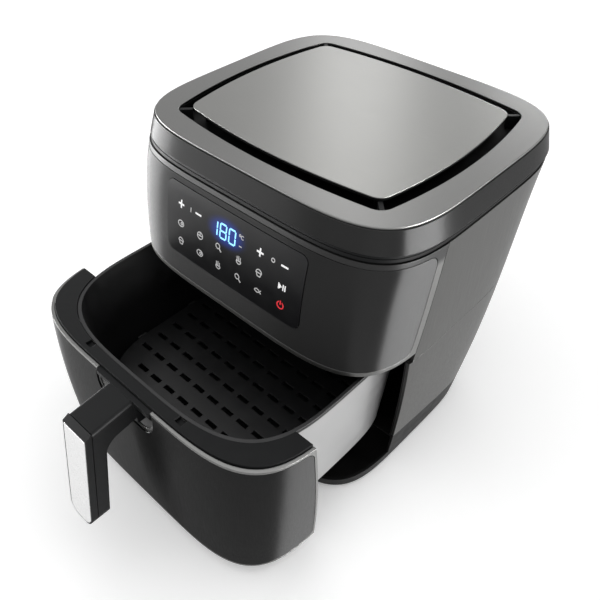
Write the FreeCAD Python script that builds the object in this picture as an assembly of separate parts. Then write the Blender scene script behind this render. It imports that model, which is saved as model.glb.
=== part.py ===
import FreeCAD
import Part
import math
import os

from FreeCAD import Vector

# Drawer-type air fryer, standing on its feet with the drawer pulled part way out.
# Millimetres, +Z up, front towards -Y. Places are worked out with X = Y = 0 on the
# axis of the top rim and Z = 0 on the worktop, with the drawer closed. At the end the
# drawer is drawn out and the whole is moved so that its footprint is centred.

# Heights, stacked from the worktop upwards
foot_height = 4.0
plinth_height = 12.0
drawer_base_gap = 3.0
drawer_height = 147.0
ring_step = 2.0
drawer_room = 7.0
frame_height = 103.0
trim_height = 6.0
band_height = 18.0
rim_thickness = 2.0
hip_height = 76.0
face_height = 67.0
side_seam_drop = 3.0

# Half width, front and back of the housing at its base, hip, split, face, shoulder and rim
base_half = 133.0
base_front = -152.0
base_back = 80.0
hip_half = 142.5
hip_front = -157.0
hip_back = 91.0
split_half = 149.0
split_front = -152.5
split_back = 102.0
face_half = 150.5
face_front = -144.0
face_back = 115.0
shoulder_half = 150.5
shoulder_front = -132.0
shoulder_back = 129.0
rim_half = 145.5
rim_depth = 127.0
squareness = 4.8
pan_squareness = 3.7
outline_points = 48

# Walls, skins and clearances
wall = 2.6
skin = 1.3
seam = 0.5
fit_gap = 0.3
slide_gap = 1.4
overshoot = 1.0

# Side seams and the front panels
frame_seam_top = -64.0
frame_seam_bottom = -85.0
insert_border = 4.0
insert_side_border = 8.0
insert_corner = 9.0
drawer_border = 2.2
base_edge_rise = 46.0
base_edge_drop = 28.0

# Control glass and the boards
glass_width = 160.0
glass_height = 67.0
glass_rise = 60.5
glass_corner = 7.0
glass_proud = 0.5
board_thickness = 1.6
board_setback = 4.0
display_board_width = 112.0
display_board_height = 40.0
display_module_width = 48.0
display_module_height = 16.0
display_module_depth = 4.0
power_board_width = 60.0
power_board_height = 36.0
power_board_gap = 6.0
service_window_width = 96.0

# Rim, floating top panel and the dish below it
trim_inset = 1.2
groove_depth = 0.6
rim_side_width = 21.5
rim_end_width = 19.8
rim_edge_radius = 0.7
rim_inset = 0.5
opening_side_bow = 11.7
opening_end_bow = 9.5
opening_corner_radius = 14.0
panel_gap = 10.4
panel_side_bow = 9.8
panel_end_bow = 8.8
panel_corner_radius = 12.0
panel_thickness = 0.9
panel_lift = 2.0
panel_edge_radius = 0.4
carrier_thickness = 2.4
carrier_inset = 0.6
dish_depth = 12.0
dish_wall = 2.0
dish_flange = 5.0
post_radius = 3.5
post_setback = 20.0
spacer_length = 11.0
spacer_width = 3.6
spacer_drop = 0.6
spacer_setback = 1.9
inlet_radius = 48.0
inlet_pitch = 8.0
inlet_slot = 4.0

# Cooking chamber, heater and fan motor
chamber_side_room = 25.0
chamber_front_room = 24.5
chamber_back_room = 26.0
sheet = 1.2
shield_setback = 12.0
fan_drop = 22.0
heater_drop = 15.0
guard_drop = 12.0
heater_tube = 3.2
heater_inner = 42.0
heater_pitch = 13.0
heater_half_turns = 5
guard_wire = 1.6
guard_margin = 7.0
guard_bars = 7
shaft_radius = 4.0
shaft_clearance = 0.06
shaft_hole_radius = 8.0
hub_radius = 7.0
fan_radius = 82.0
fan_height = 14.0
fan_blades = 12
blade_thickness = 1.0
blade_start = 0.4
cooler_radius = 46.0
cooler_height = 7.0
cooler_blades = 9
cooler_gap = 2.0
dish_clearance = 6.0
motor_radius = 30.0
motor_height = 26.0
motor_lift = 6.0
bracket_width = 90.0
bracket_depth = 36.0
sensor_radius = 2.5
sensor_length = 24.0
sensor_margin = 16.0
cutout_radius = 8.0
cutout_height = 6.0
cutout_place = 70.0

# Drawer: travel shown, front, pan, pot and crisper tray
drawer_out = 112.0
drawer_cut_top = -90.0
drawer_cut_bottom = -80.0
drawer_low_flare = 6.5
drawer_low_proud = 4.5
drawer_mid_flare = 3.5
drawer_mid_proud = 1.0
ring_depth = 7.0
ring_inset = 3.2
pan_side_room = 17.5
pan_front_room = 12.5
pan_back_room = 20.0
pan_low_side_room = 21.0
pan_low_front_room = 27.0
pan_low_back_room = 19.0
pot_wall = 1.2
pot_floor_gap = 4.0
lip_height = 1.4
lip_drop = 0.8
tray_lift = 12.0
tray_thickness = 2.0
tray_gap = 3.0
slot_pitch = 20.0
slot_length = 13.0
slot_width = 4.5
tray_rim = 12.0
tray_leg_radius = 4.0
leg_place = 30.0
bumper_reach = 1.6
bumper_width = 10.0
bumper_place = 33.0
notch_place = 58.3
notch_width = 8.0
notch_depth = 5.0
magnet_place = 100.0
magnet_width = 14.0
magnet_depth = 7.0
magnet_height = 8.0
switch_height = 6.0

# Handle
root_half = 34.5
root_height = 27.0
root_reach = 2.5
root_depth = 6.0
root_corner = 16.0
root_edge_radius = 2.0
hollow_depth = 8.0
hollow_roof = 4.5
arm_half = 15.6
arm_length = 37.5
arm_thickness = 22.0
arm_drop = 4.5
elbow_radius = 15.0
grip_length = 110.0
grip_lean = 19.0
grip_back = 9.0
grip_end_back = 12.5
grip_cover = 6.0
grip_edge_radius = 3.0
grip_end_radius = 11.0
grip_heel_radius = 6.0
cover_shoulder = 3.0
plate_inset = 1.6
plate_thickness = 1.4
plate_proud = 0.3
plate_margin = 1.6
handle_screw_place = 8.0
handle_screw_length = 24.0

# Bay, rails, feet, fasteners and the mains gland
bay_wall = 2.0
bay_rise = 38.0
bay_mouth_gap = 2.8
rail_height = 11.5
rail_place = 84.0
rail_width = 12.0
rail_setback = 5.6
foot_radius = 11.0
foot_stud_radius = 4.5
foot_place_x = 92.0
foot_place_front = -105.0
foot_place_back = 45.0
boss_radius = 6.5
boss_offset = 22.0
screw_radius = 1.7
screw_head = 3.2
screw_head_height = 2.0
screw_length = 9.0
gland_radius = 7.0
gland_flange = 3.0
gland_flange_thickness = 2.0
gland_bore = 3.5
gland_rise = 62.0
gland_length = 10.0
grille_half = 48.0
grille_rise = 23.0
grille_height = 56.0
grille_slots = 6
grille_slot_height = 4.0
grille_border = 9.0

# Levels that follow from the heights
base_level = foot_height
plinth_top = base_level + plinth_height
drawer_bottom = plinth_top + drawer_base_gap
drawer_top = drawer_bottom + drawer_height
ring_top = drawer_top + ring_step
ring_bottom = ring_top - ring_depth
split_level = ring_top + overshoot
frame_bottom = drawer_top + drawer_room
frame_top = frame_bottom + frame_height
shoulder_level = frame_top + trim_height
band_top = shoulder_level + band_height
rim_level = band_top + rim_thickness
hip_level = base_level + hip_height
face_level = frame_bottom + face_height
side_seam_level = drawer_top - side_seam_drop
glass_level = frame_bottom + glass_rise
bay_floor = base_level + bay_rise
pan_bottom = bay_floor + bay_wall + rail_height + seam
dish_top = band_top - seam
dish_bottom = dish_top - dish_depth
cooler_level = dish_bottom - dish_clearance - cooler_height
motor_level = cooler_level - cooler_gap - motor_height
shield_level = motor_level - motor_lift - sheet
chamber_top = shield_level - seam
chamber_bottom = frame_bottom
fan_level = chamber_top - fan_drop
heater_level = fan_level - heater_drop
guard_level = heater_level - guard_drop

# Outlines that follow from the housing
opening_half = rim_half - rim_side_width
opening_depth = rim_depth - rim_end_width
panel_half = opening_half - panel_gap
panel_depth = opening_depth - panel_gap
chamber_half = split_half - chamber_side_room
chamber_front = split_front + chamber_front_room
chamber_back = split_back - chamber_back_room
motor_y = (chamber_front + chamber_back) / 2
pan_half = split_half - pan_side_room
pan_front = split_front + pan_front_room
pan_back = split_back - pan_back_room
pan_low_half = hip_half - pan_low_side_room
pan_low_front = hip_front + pan_low_front_room
pan_low_back = hip_back - pan_low_back_room
guard_radius = fan_radius + guard_margin

# Places of the handle, from its root on the drawer front to the end of the grip
handle_face = split_front - root_reach
handle_top = drawer_top - seam
elbow = handle_face - arm_length
knee = handle_top - arm_drop
shoulder = knee - cover_shoulder
grip_bottom = drawer_top - grip_length
grip_tip = elbow - grip_lean
plate_top = shoulder - plate_margin

# Directions, a length beyond everything, a half right angle and the pieces as they are made
far = 3 * rim_level
diagonal = 45.0
up = Vector(0, 0, 1)
rearward = Vector(0, 1, 0)
forward = Vector(0, -1, 0)
sideways = Vector(1, 0, 0)
pieces = {}


def box(x0, x1, y0, y1, z0, z1):
    """A block between two corners."""
    return Part.makeBox(x1 - x0, y1 - y0, z1 - z0, Vector(x0, y0, z0))


def rod(radius, length, x, y, z, axis=up):
    """A round bar that starts at a point and runs along an axis."""
    return Part.makeCylinder(radius, length, Vector(x, y, z), axis)


def slab(z0, z1):
    """Everything between two levels."""
    return box(-far, far, -far, far, z0, z1)


def outline(level, half, front, back, power=squareness):
    """A rounded square |x/a|^n + |y/b|^n = 1 at one level, as a closed smooth curve."""
    depth = (back - front) / 2
    middle = (back + front) / 2
    points = []
    for k in range(outline_points):
        turn = 2 * math.pi * k / outline_points
        across = abs(math.cos(turn) / half) ** power
        along = abs(math.sin(turn) / depth) ** power
        reach = (across + along) ** (-1 / power)
        points.append(Vector(reach * math.cos(turn), middle + reach * math.sin(turn), level))
    steps = [k / outline_points for k in range(outline_points + 1)]
    curve = Part.BSplineCurve()
    curve.interpolate(Points=points, PeriodicFlag=True, Parameters=steps)
    return Part.Wire([curve.toShape()])


def plate(level, thickness, half, front, back, power=squareness):
    """A flat rounded-square plate, standing on its level."""
    return Part.Face(outline(level, half, front, back, power)).extrude(up * thickness)


def cushion(level, thickness, half, depth, side_bow, end_bow, radius):
    """A flat plate with four bowed sides that meet in rounded corners, standing on its level."""
    x = half - side_bow
    y = depth - end_bow
    corners = [Vector(x, y, level), Vector(-x, y, level), Vector(-x, -y, level), Vector(x, -y, level)]
    middles = [Vector(0, depth, level), Vector(-half, 0, level),
               Vector(0, -depth, level), Vector(half, 0, level)]
    sides = []
    for start, middle, end in zip(corners, middles, corners[1:] + corners[:1]):
        sides.append(Part.Arc(start, middle, end).toShape())
    solid = Part.Face(Part.Wire(sides)).extrude(up * thickness)
    return solid.makeFillet(radius, edges_along(solid, up, lambda place: True))


def top_opening(level, height, grow=0.0):
    """The block of air in the top opening, or the same block grown outwards."""
    return cushion(level, height, opening_half + grow, opening_depth + grow,
                   opening_side_bow, opening_end_bow, opening_corner_radius + grow)


def top_plate(level, thickness, inset=0.0):
    """A plate with the outline of the top panel, or a smaller one."""
    return cushion(level, thickness, panel_half - inset, panel_depth - inset,
                   panel_side_bow, panel_end_bow, panel_corner_radius)


def tapered(low, high, power=squareness):
    """A straight-sided solid between two rounded squares (level, half, front, back)."""
    return Part.makeLoft([outline(*low, power), outline(*high, power)], True, True)


def barrel(sections, inset):
    """A smooth solid through rounded squares, moved inwards everywhere by an inset."""
    wires = []
    for level, half, front, back in sections:
        wires.append(outline(level, half - inset, front + inset, back - inset))
    return Part.makeLoft(wires, True, False)


def housing(inset):
    """The barrel shape of the housing."""
    sections = (
        (base_level, base_half, base_front, base_back),
        (hip_level, hip_half, hip_front, hip_back),
        (split_level, split_half, split_front, split_back),
        (face_level, face_half, face_front, face_back),
        (shoulder_level, shoulder_half, shoulder_front, shoulder_back),
    )
    return barrel(sections, inset)


def drawer_shape(inset):
    """The drawer's outline, which stands a little wider than the housing towards its bottom."""
    low_half = base_half + drawer_low_flare
    low_front = base_front - drawer_low_proud
    mid_half = hip_half + drawer_mid_flare
    mid_front = hip_front - drawer_mid_proud
    sections = (
        (drawer_bottom, low_half, low_front, split_back),
        (hip_level, mid_half, mid_front, split_back),
        (split_level, split_half, split_front, split_back),
    )
    return barrel(sections, inset)


def prism(points, half):
    """A side profile of (y, z) points, drawn out to both sides along X."""
    corners = [Vector(-half, y, z) for y, z in points]
    face = Part.Face(Part.makePolygon(corners + corners[:1]))
    return face.extrude(sideways * (2 * half))


def edges_along(shape, axis, test):
    """The straight edges of a shape that run along an axis and pass a test on their middle."""
    found = []
    for edge in shape.Edges:
        ends = [v.Point for v in edge.Vertexes]
        if len(ends) == 2 and (ends[1] - ends[0]).cross(axis).Length < 1e-6:
            if test((ends[0] + ends[1]) * 0.5):
                found.append(edge)
    return found


def line_at(level, low, high):
    """Y on a leaning line through two (y, level) points."""
    share = (level - low[1]) / (high[1] - low[1])
    return low[0] + (high[0] - low[0]) * share


def frame_seam(level):
    """Y of the leaning seam between the front frame and the side panels."""
    return line_at(level, (frame_seam_bottom, side_seam_level), (frame_seam_top, frame_top))


def drawer_cut(level):
    """Y of the leaning cut between the drawer front and the lower shell."""
    return line_at(level, (drawer_cut_bottom, drawer_bottom), (drawer_cut_top, drawer_top))


def ahead_of(line, setback, low, high):
    """What lies in front of a leaning line between two levels, kept away from the line."""
    rear_low = line(low) - setback
    rear_high = line(high) - setback
    return prism([(-far, low), (rear_low, low), (rear_high, high), (-far, high)], far)


def behind(line, setback, low, high):
    """What lies behind a leaning line between two levels, kept away from the line."""
    front_low = line(low) + setback
    front_high = line(high) + setback
    return prism([(front_low, low), (far, low), (far, high), (front_high, high)], far)


def rounded_rear(region, radius):
    """A region with its two rear corners rounded, as seen from the side."""
    return region.makeFillet(radius, edges_along(region, sideways, lambda middle: middle.y > -far / 2))


def front_window(width, height, level, radius):
    """A rounded rectangle seen from the front, drawn out over the front half."""
    half = width / 2
    block = box(-half, half, -far, 0, level - height / 2, level + height / 2)
    return block.makeFillet(radius, edges_along(block, rearward, lambda middle: True))


def scoop(grow):
    """The U-shaped bay in the top of the drawer front that takes the handle's root."""
    half = root_half + grow
    low = drawer_top - root_height - grow
    block = box(-half, half, -far, motor_y, low, ring_top + far)
    bottom = edges_along(block, rearward, lambda middle: middle.z < drawer_top)
    return block.makeFillet(root_corner, bottom)


def put(name, shape, on_drawer=False):
    """Keep a piece under its name; drawer pieces are drawn out by the travel shown."""
    placed = shape.copy()
    if on_drawer:
        placed.translate(forward * drawer_out)
    pieces[name] = placed


def screw(x, y, z, axis, length, grow=0.0):
    """A round-headed screw along an axis from its head's outer face, or its hole if grown."""
    head = rod(screw_head + grow, screw_head_height + grow, x, y, z, axis)
    return head.fuse(rod(screw_radius + grow, length + grow, x, y, z, axis))


def foot_places():
    """The four foot centres."""
    for x in (-foot_place_x, foot_place_x):
        for y in (foot_place_front, foot_place_back):
            yield x, y


def corner_signs():
    """The four combinations of left or right and front or back."""
    for x in (-1, 1):
        for y in (-1, 1):
            yield x, y


body = housing(0)
body_inner = housing(wall)
shell = body.cut(body_inner)
skin_layer = body.cut(housing(skin))
insert_layer = body.cut(housing(skin - fit_gap))


def base_edge(lift):
    """What lies above the sloping edge between the side panels and the base."""
    front = base_level + base_edge_rise + lift
    back = front - base_edge_drop
    start = drawer_cut_top
    return prism([(start, front), (hip_back, back), (far, back), (far, far), (start, far)], far)


def make_base():
    """The base pan with its low plinth at the front, its feet and the screws beside them."""
    floor = body.common(slab(base_level, base_level + wall))
    plinth = shell.common(slab(base_level, plinth_top))
    rear = shell.common(behind(drawer_cut, slide_gap, base_level, base_level + base_edge_rise))
    pan = floor.fuse([plinth, rear.cut(base_edge(-seam))])
    feet = []
    screws = []
    for x, y in foot_places():
        pad = rod(foot_radius, base_level, x, y, 0)
        feet.append(pad.fuse(rod(foot_stud_radius, base_level + wall, x, y, 0)))
        pan = pan.cut(rod(foot_stud_radius + fit_gap, wall + overshoot, x, y, base_level - overshoot / 2))
        inward = x - math.copysign(boss_offset, x)
        boss = rod(boss_radius, bay_rise, inward, y, base_level)
        pan = pan.fuse(boss).cut(screw(inward, y, base_level, up, screw_length, fit_gap / 2))
        screws.append(screw(inward, y, base_level, up, screw_length))
    put("base_pan", pan)
    put("rubber_feet", Part.makeCompound(feet))
    put("base_screws", Part.makeCompound(screws))


def make_lower_shell():
    """The lower side and back panel, with the mains gland through its back."""
    side = shell.common(behind(drawer_cut, slide_gap, base_level, side_seam_level)).common(base_edge(0))
    level = base_level + gland_rise
    hole = rod(gland_radius + fit_gap, far, 0, 0, level, rearward)
    put("lower_shell", side.cut(hole))
    plug = rod(gland_radius, gland_length, 0, hip_back - gland_length, level, rearward)
    flange = rod(gland_radius + gland_flange, gland_flange_thickness, 0, hip_back, level, rearward)
    bore = rod(gland_bore, far, 0, 0, level, rearward)
    put("cable_gland", plug.fuse(flange).cut(bore))


def make_upper_shell():
    """The upper side and back panel behind the leaning seam, with its exhaust grille."""
    panel = shell.common(behind(frame_seam, seam, side_seam_level + seam, frame_top))
    level = frame_bottom + grille_rise + grille_height / 2
    window = front_window(2 * grille_half, grille_height, level, grille_border)
    window.rotate(Vector(0, 0, 0), up, 180)
    put("upper_shell", panel.cut(window))
    inner = front_window(2 * (grille_half - seam), grille_height - 2 * seam, level, grille_border - seam)
    inner.rotate(Vector(0, 0, 0), up, 180)
    grille = shell.common(inner)
    pitch = grille_height / (grille_slots + 1)
    half = grille_half - grille_border
    for k in range(grille_slots):
        low = frame_bottom + grille_rise + pitch * (k + 1) - grille_slot_height / 2
        grille = grille.cut(box(-half, half, 0, far, low, low + grille_slot_height))
    put("rear_grille", grille)


def make_front():
    """The front frame, the insert let into it, the control glass and the boards."""
    frame = shell.common(ahead_of(frame_seam, 0, frame_bottom, frame_top))
    low = frame_bottom + insert_border
    high = frame_top - insert_border
    pocket = rounded_rear(ahead_of(frame_seam, insert_side_border, low, high), insert_corner)
    service = front_window(service_window_width, display_board_height, glass_level, glass_corner)
    put("front_frame", frame.cut(skin_layer.common(pocket)).cut(service))
    filled = ahead_of(frame_seam, insert_side_border + seam, low + seam, high - seam)
    insert = insert_layer.common(rounded_rear(filled, insert_corner - seam))
    put("front_insert", insert.cut(front_window(glass_width, glass_height, glass_level, glass_corner)))
    pane = front_window(glass_width - seam, glass_height - seam, glass_level, glass_corner)
    put("control_glass", housing(-glass_proud).cut(housing(skin - fit_gap)).common(pane))
    board = chamber_front - board_setback - board_thickness
    half = display_board_width / 2
    middle = glass_level
    reach = display_board_height / 2
    put("display_board", box(-half, half, board, board + board_thickness, middle - reach, middle + reach))
    half = display_module_width / 2
    top = middle + reach
    module_front = board - display_module_depth
    put("display_module", box(-half, half, module_front, board, top - display_module_height, top))
    left = -power_board_width
    power_y = chamber_back + power_board_gap
    low = chamber_bottom + board_setback
    put("power_board", box(left, 0, power_y, power_y + board_thickness, low, low + power_board_height))


def make_rim():
    """The stepped trim strip, the flared band and the ring round the top opening."""
    strip = housing(trim_inset).cut(body_inner).common(slab(frame_top + seam, shoulder_level - seam))
    groove_level = (frame_top + shoulder_level) / 2
    groove = body.cut(housing(trim_inset + groove_depth)).common(slab(groove_level, groove_level + seam))
    put("trim_strip", strip.cut(groove))
    share = band_height / (band_height + rim_thickness)
    reach_half = shoulder_half + (rim_half - shoulder_half) * share
    reach_front = shoulder_front + (-rim_depth - shoulder_front) * share
    reach_back = shoulder_back + (rim_depth - shoulder_back) * share
    outer = tapered((shoulder_level, shoulder_half, shoulder_front, shoulder_back),
                    (band_top, reach_half, reach_front, reach_back))
    inner = tapered((shoulder_level, shoulder_half - wall, shoulder_front + wall, shoulder_back - wall),
                    (band_top, reach_half - wall, reach_front + wall, reach_back - wall))
    put("rim_band", outer.cut(inner))
    inset_half = rim_half - rim_inset
    inset_depth = rim_depth - rim_inset
    ring = plate(band_top + fit_gap, rim_thickness - fit_gap, inset_half, -inset_depth, inset_depth)
    top_edges = [edge for edge in ring.Edges if edge.BoundBox.ZMin > rim_level - fit_gap]
    ring = ring.makeFillet(rim_edge_radius, top_edges)
    put("top_ring", ring.cut(top_opening(0, far)))


def make_top():
    """The floating top panel, the slotted dish below it and the posts between them."""
    sheet_bottom = rim_level + panel_lift - panel_thickness
    panel = top_plate(sheet_bottom, panel_thickness)
    top_edges = [edge for edge in panel.Edges if edge.BoundBox.ZMin > sheet_bottom + panel_thickness / 2]
    put("top_panel", panel.makeFillet(panel_edge_radius, top_edges))
    low = sheet_bottom - carrier_thickness
    put("panel_carrier", top_plate(low, carrier_thickness, carrier_inset))
    floor = dish_bottom + dish_wall
    dish = top_opening(dish_bottom, dish_depth, dish_flange).cut(top_opening(floor, far))
    slots = []
    count = int(inlet_radius / inlet_pitch)
    for k in range(-count, count + 1):
        place = k * inlet_pitch
        span = math.sqrt((inlet_radius + inlet_slot) ** 2 - place ** 2)
        y = motor_y + place
        slots.append(box(-span, span, y - inlet_slot / 2, y + inlet_slot / 2, dish_bottom, floor))
    put("inlet_dish", dish.cut(Part.makeCompound(slots)))
    posts = []
    for x, y in corner_signs():
        post = rod(post_radius, low - floor, 0, 0, floor)
        post.translate(Vector(x * (panel_half - post_setback), y * (panel_depth - post_setback), 0))
        posts.append(post)
    put("panel_posts", Part.makeCompound(posts))
    spacers = []
    middle_x = (panel_half - panel_side_bow + opening_half - opening_side_bow) / 2 - spacer_setback
    middle_y = (panel_depth - panel_end_bow + opening_depth - opening_end_bow) / 2 - spacer_setback
    for x, y in corner_signs():
        spacer = box(-spacer_length / 2, spacer_length / 2, -spacer_width / 2, spacer_width / 2,
                     floor, rim_level - spacer_drop)
        spacer.rotate(Vector(0, 0, 0), up, x * y * diagonal)
        spacer.translate(Vector(x * middle_x, y * middle_y, 0))
        spacers.append(spacer)
    put("corner_spacers", Part.makeCompound(spacers))


def make_chamber():
    """The sheet-metal cooking chamber, its heat shield, sensor and thermal cut-out."""
    height = chamber_top - chamber_bottom
    outer = plate(chamber_bottom, height, chamber_half, chamber_front, chamber_back)
    inside = plate(chamber_bottom - overshoot, height - sheet + overshoot, chamber_half - sheet,
                   chamber_front + sheet, chamber_back - sheet)
    shaft_hole = rod(shaft_hole_radius, far, 0, motor_y, 0)
    put("cooking_chamber", outer.cut(inside).cut(shaft_hole))
    shield = plate(shield_level, sheet, chamber_half - shield_setback, chamber_front + shield_setback,
                   chamber_back - shield_setback)
    put("heat_shield", shield.cut(shaft_hole))
    roof = chamber_top - sheet
    x = chamber_half - sensor_margin
    put("temperature_sensor", rod(sensor_radius, sensor_length, x, motor_y, roof - sensor_length))
    put("thermal_cutout", rod(cutout_radius, cutout_height, cutout_place, motor_y, shield_level + sheet))


def make_heater():
    """The tubular heater, a flat spiral of half circles, and the wire guard below it."""
    edges = []
    radius = heater_inner
    centre = 0.0
    for k in range(heater_half_turns):
        side = 1 if k % 2 == 0 else -1
        start = Vector(centre - side * radius, motor_y, heater_level)
        peak = Vector(centre, motor_y + side * radius, heater_level)
        end = Vector(centre + side * radius, motor_y, heater_level)
        edges.append(Part.Arc(start, peak, end).toShape())
        centre = centre - side * heater_pitch / 2
        radius = radius + heater_pitch / 2
    tip = Vector(-heater_inner, motor_y, heater_level)
    profile = Part.Wire([Part.makeCircle(heater_tube, tip, rearward)])
    put("heating_element", Part.Wire(edges).makePipeShell([profile], True, False))
    guard = Part.makeTorus(guard_radius, guard_wire, Vector(0, motor_y, guard_level))
    for k in range(guard_bars):
        x = guard_radius * (2 * (k + 1) / (guard_bars + 1) - 1)
        span = math.sqrt(guard_radius ** 2 - x ** 2)
        guard = guard.fuse(rod(guard_wire, 2 * span, x, motor_y - span, guard_level, rearward))
    put("heater_guard", guard)


def fan(radius, height, blades, level):
    """A flat disc with a hub on the shaft and straight radial blades standing on it."""
    wheel = rod(radius, blade_thickness, 0, motor_y, level).fuse(rod(hub_radius, height, 0, motor_y, level))
    half = blade_thickness / 2
    for k in range(blades):
        blade = box(radius * blade_start, radius - half, -half, half, level, level + height)
        blade.rotate(Vector(0, 0, 0), up, 360 * k / blades)
        blade.translate(rearward * motor_y)
        wheel = wheel.fuse(blade)
    return wheel.cut(rod(shaft_radius + shaft_clearance, far, 0, motor_y, 0))


def make_motor():
    """The fan motor over the chamber, and the rotor with a fan at each end of its shaft."""
    half = bracket_width / 2
    depth = bracket_depth / 2
    bracket = box(-half, half, motor_y - depth, motor_y + depth, shield_level + sheet, motor_level)
    put("motor_bracket", bracket.cut(rod(shaft_hole_radius, far, 0, motor_y, 0)))
    can = rod(motor_radius, motor_height, 0, motor_y, motor_level)
    put("motor_stator", can.cut(rod(shaft_radius + shaft_clearance, far, 0, motor_y, 0)))
    top = cooler_level + cooler_height
    put("motor_shaft", rod(shaft_radius, top - fan_level, 0, motor_y, fan_level))
    put("convection_fan", fan(fan_radius, fan_height, fan_blades, fan_level))
    put("cooling_fan", fan(cooler_radius, cooler_height, cooler_blades, cooler_level))


def make_bay():
    """The liner that the pan slides into, the rails on its floor and the drawer switch."""
    region = behind(drawer_cut, bay_mouth_gap, bay_floor, side_seam_level)
    outer = housing(wall + seam)
    walls = outer.cut(housing(wall + seam + bay_wall)).common(region)
    floor = outer.common(region).common(slab(bay_floor, bay_floor + bay_wall))
    room = rod(gland_radius + gland_flange, far, 0, 0, base_level + gland_rise, rearward)
    put("drawer_bay", walls.fuse(floor).cut(room))
    rails = []
    low = bay_floor + bay_wall
    start = drawer_cut_bottom + rail_setback
    half = rail_width / 2
    for x in (-rail_place, rail_place):
        rails.append(box(x - half, x + half, start, pan_low_back, low, low + rail_height))
    put("drawer_rails", Part.makeCompound(rails))
    half = magnet_width / 2
    front = chamber_front - magnet_depth - slide_gap
    put("drawer_switch", box(magnet_place - half, magnet_place + half, front, front + magnet_depth,
                             frame_bottom, frame_bottom + switch_height))


def make_drawer_front():
    """The drawer's curved front, the insert let into it, the ring round the pan and the magnet."""
    whole = drawer_shape(0)
    wall_layer = whole.cut(drawer_shape(wall))
    front = wall_layer.common(ahead_of(drawer_cut, 0, drawer_bottom, drawer_top))
    low = drawer_bottom + drawer_border
    high = drawer_top - drawer_border
    pocket = rounded_rear(ahead_of(drawer_cut, drawer_border, low, high), insert_corner)
    front = front.cut(whole.cut(drawer_shape(skin)).common(pocket)).cut(scoop(0))
    put("drawer_front", front, True)
    filled = ahead_of(drawer_cut, drawer_border + seam, low + seam, high - seam)
    insert = whole.cut(drawer_shape(skin - fit_gap)).common(rounded_rear(filled, insert_corner - seam))
    put("drawer_insert", insert.cut(scoop(drawer_border)), True)
    ring = drawer_shape(ring_inset).common(ahead_of(drawer_cut, 0, ring_bottom, ring_top))
    mouth = plate(0, far, pan_half + fit_gap, pan_front - fit_gap, pan_back + fit_gap, pan_squareness)
    ring = ring.cut(mouth)
    half = notch_width / 2
    for x in (-notch_place, notch_place):
        low = pan_front - notch_depth
        ring = ring.cut(box(x - half, x + half, low, motor_y, ring_top - ring_depth / 2, far))
    put("drawer_ring", ring, True)
    half = magnet_width / 2
    back = pan_front + magnet_depth
    top = ring_bottom - fit_gap
    magnet = box(magnet_place - half, magnet_place + half, pan_front, back, top - magnet_height, top)
    put("drawer_magnet", magnet, True)


def pan_section(level, inset):
    """The pan's outline at a level, drawn in evenly towards its bottom."""
    share = (ring_top - level) / (ring_top - pan_bottom)
    half = pan_half + (pan_low_half - pan_half) * share
    front = pan_front + (pan_low_front - pan_front) * share
    back = pan_back + (pan_low_back - pan_back) * share
    return (level, half - inset, front + inset, back - inset)


def pan_solid(low, high, inset):
    """The pan's tapered inside or outside between two levels."""
    return tapered(pan_section(low, inset), pan_section(high, inset), pan_squareness)


def make_pan():
    """The steel pan and the coated pot nested in it."""
    inside = pan_solid(pan_bottom + sheet, ring_top, sheet)
    lip_bottom = ring_top - lip_drop - lip_height
    put("outer_pan", pan_solid(pan_bottom, lip_bottom - fit_gap, 0).cut(inside), True)
    pot_low = pan_bottom + sheet + pot_floor_gap
    pot_top = ring_top - lip_drop
    gap = sheet + seam
    hollow = pan_solid(pot_low + pot_wall, ring_top, gap + pot_wall)
    lip = pan_solid(lip_bottom, pot_top, 0)
    put("inner_pot", pan_solid(pot_low, pot_top, gap).fuse(lip).cut(hollow), True)


def make_tray():
    """The crisper tray with its slots and legs, and the soft bumpers on its edge."""
    floor = pan_bottom + sheet + pot_floor_gap + pot_wall
    low = floor + tray_lift
    half, front, back = pan_section(floor, sheet + seam + pot_wall + tray_gap)[1:]
    tray = plate(low, tray_thickness, half, front, back, pan_squareness)
    middle = (front + back) / 2
    slotted_half = half - tray_rim
    slotted_depth = (back - front) / 2 - tray_rim
    columns = int(slotted_half / slot_pitch)
    rows = int(slotted_depth / slot_pitch)
    slots = []
    for i in range(-columns, columns + 1):
        for j in range(-rows, rows + 1):
            x = i * slot_pitch
            y = j * slot_pitch
            reach = abs(x / slotted_half) ** pan_squareness + abs(y / slotted_depth) ** pan_squareness
            if reach < 1:
                slot = Part.makeBox(slot_length, slot_width, tray_thickness)
                slot.translate(Vector(x - slot_length / 2, middle + y - slot_width / 2, low))
                slots.append(slot)
    tray = tray.cut(Part.makeCompound(slots))
    bumpers = []
    for x, y in corner_signs():
        leg_x = x * (columns * slot_pitch - slot_pitch / 2)
        leg_y = middle + y * leg_place
        tray = tray.fuse(rod(tray_leg_radius, tray_lift - fit_gap, leg_x, leg_y, floor + fit_gap))
        pad = box(0, bumper_reach, -bumper_width / 2, bumper_width / 2, low, low + tray_thickness)
        if x < 0:
            pad.translate(sideways * -bumper_reach)
        pad.translate(Vector(x * half, middle + y * bumper_place, 0))
        bumpers.append(pad)
    put("crisper_tray", tray, True)
    put("tray_bumpers", Part.makeCompound(bumpers), True)


def grip_layer(near, ahead):
    """A layer of the grip between two depths in front of the arm's front face."""
    return prism([(elbow - near, shoulder), (elbow - ahead, shoulder), (grip_tip - ahead, grip_bottom),
                  (grip_tip - near, grip_bottom)], arm_half)


def grip_window(inset, above):
    """The grip's outline seen from the front, round at its lower end and open above."""
    low = grip_bottom + inset
    height = above - low
    return front_window(2 * (arm_half - inset), height, low + height / 2, grip_end_radius - inset)


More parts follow.
